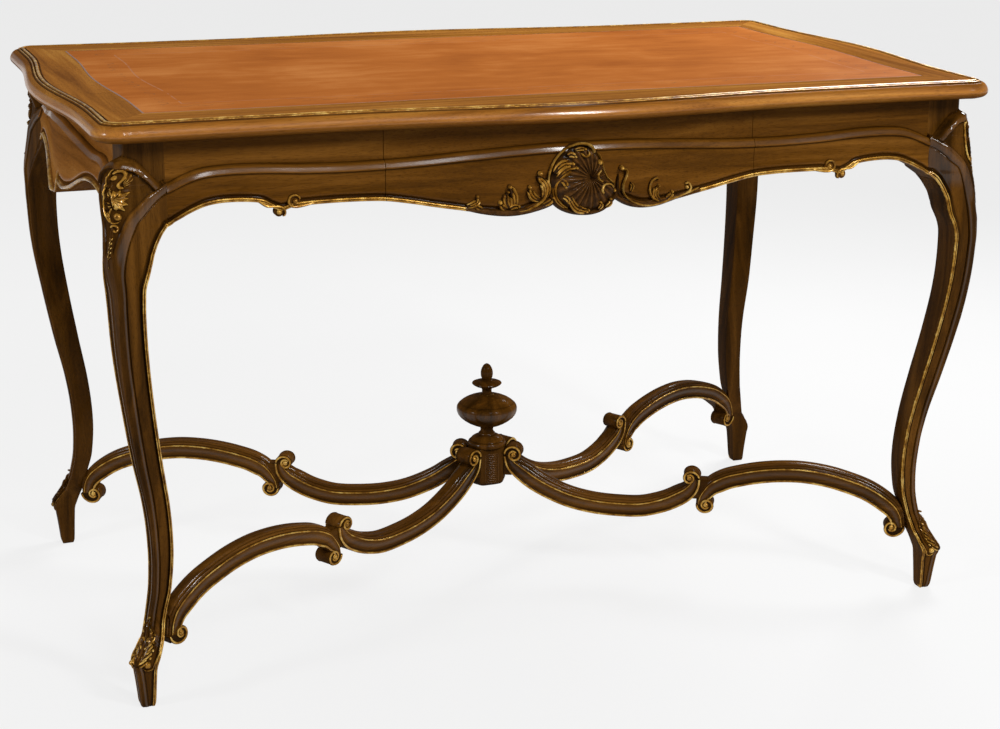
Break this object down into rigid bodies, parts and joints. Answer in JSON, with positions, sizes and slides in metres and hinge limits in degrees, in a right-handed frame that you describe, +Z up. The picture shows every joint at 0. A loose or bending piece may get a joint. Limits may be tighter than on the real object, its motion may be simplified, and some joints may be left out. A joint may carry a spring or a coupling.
{
  "type": "writing table",
  "caption": "Writing table with a serpentine leather-lined top, a frieze drawer with a carved shell, cabriole legs and a scrolled X stretcher with a turned finial.",
  "frame": {"origin": "on the floor under the middle of the top", "axes": "+Z up, the drawer faces -Y, +X along the table to the right as seen from the front"},
  "size_m": [1.266, 0.776, 0.761],
  "materials": {
    "walnut": "polished",
    "dark_walnut": "polished",
    "top_walnut": "polished",
    "inner_wood": "planed",
    "gilt_wood": "worn gilding",
    "leather": "worn",
    "brass": "satin"
  },
  "bodies": {
    "table": {"top_frame_front": "top_walnut", "top_frame_back": "top_walnut", "top_frame_left": "top_walnut", "top_frame_right": "top_walnut", "top_panel": "inner_wood", "writing_leather": "leather", "top_screws": "brass", "leg_front_left": "walnut", "leg_front_right": "walnut", "leg_back_left": "walnut", "leg_back_right": "walnut", "apron_front_left": "walnut", "apron_front_right": "walnut", "apron_left": "walnut", "apron_right": "walnut", "apron_back": "walnut", "drawer_top_rail": "inner_wood", "drawer_low_rail": "inner_wood", "centre_cross_rail": "inner_wood", "back_top_rail": "inner_wood", "drawer_runner_left": "inner_wood", "drawer_runner_right": "inner_wood", "drawer_kicker_left": "inner_wood", "drawer_kicker_right": "inner_wood", "corner_blocks": "inner_wood", "stretcher_block": "dark_walnut", "urn_finial": "dark_walnut", "stretcher_dowels": "inner_wood", "inner_arm_front_left": "walnut", "inner_arm_front_right": "walnut", "inner_arm_back_left": "walnut", "inner_arm_back_right": "walnut", "outer_arm_front_left": "walnut", "outer_arm_front_right": "walnut", "outer_arm_back_left": "walnut", "outer_arm_back_right": "walnut"},
    "drawer": {"drawer_front": "walnut", "drawer_side_left": "inner_wood", "drawer_side_right": "inner_wood", "drawer_back": "inner_wood", "drawer_bottom": "inner_wood", "shell_carving": "gilt_wood"}
  },
  "joints": [
    {"name": "drawer_slide", "type": "slide", "parent": "table", "child": "drawer", "axis": [0, -1, 0], "range_m": [0, 0.21]}
  ]
}
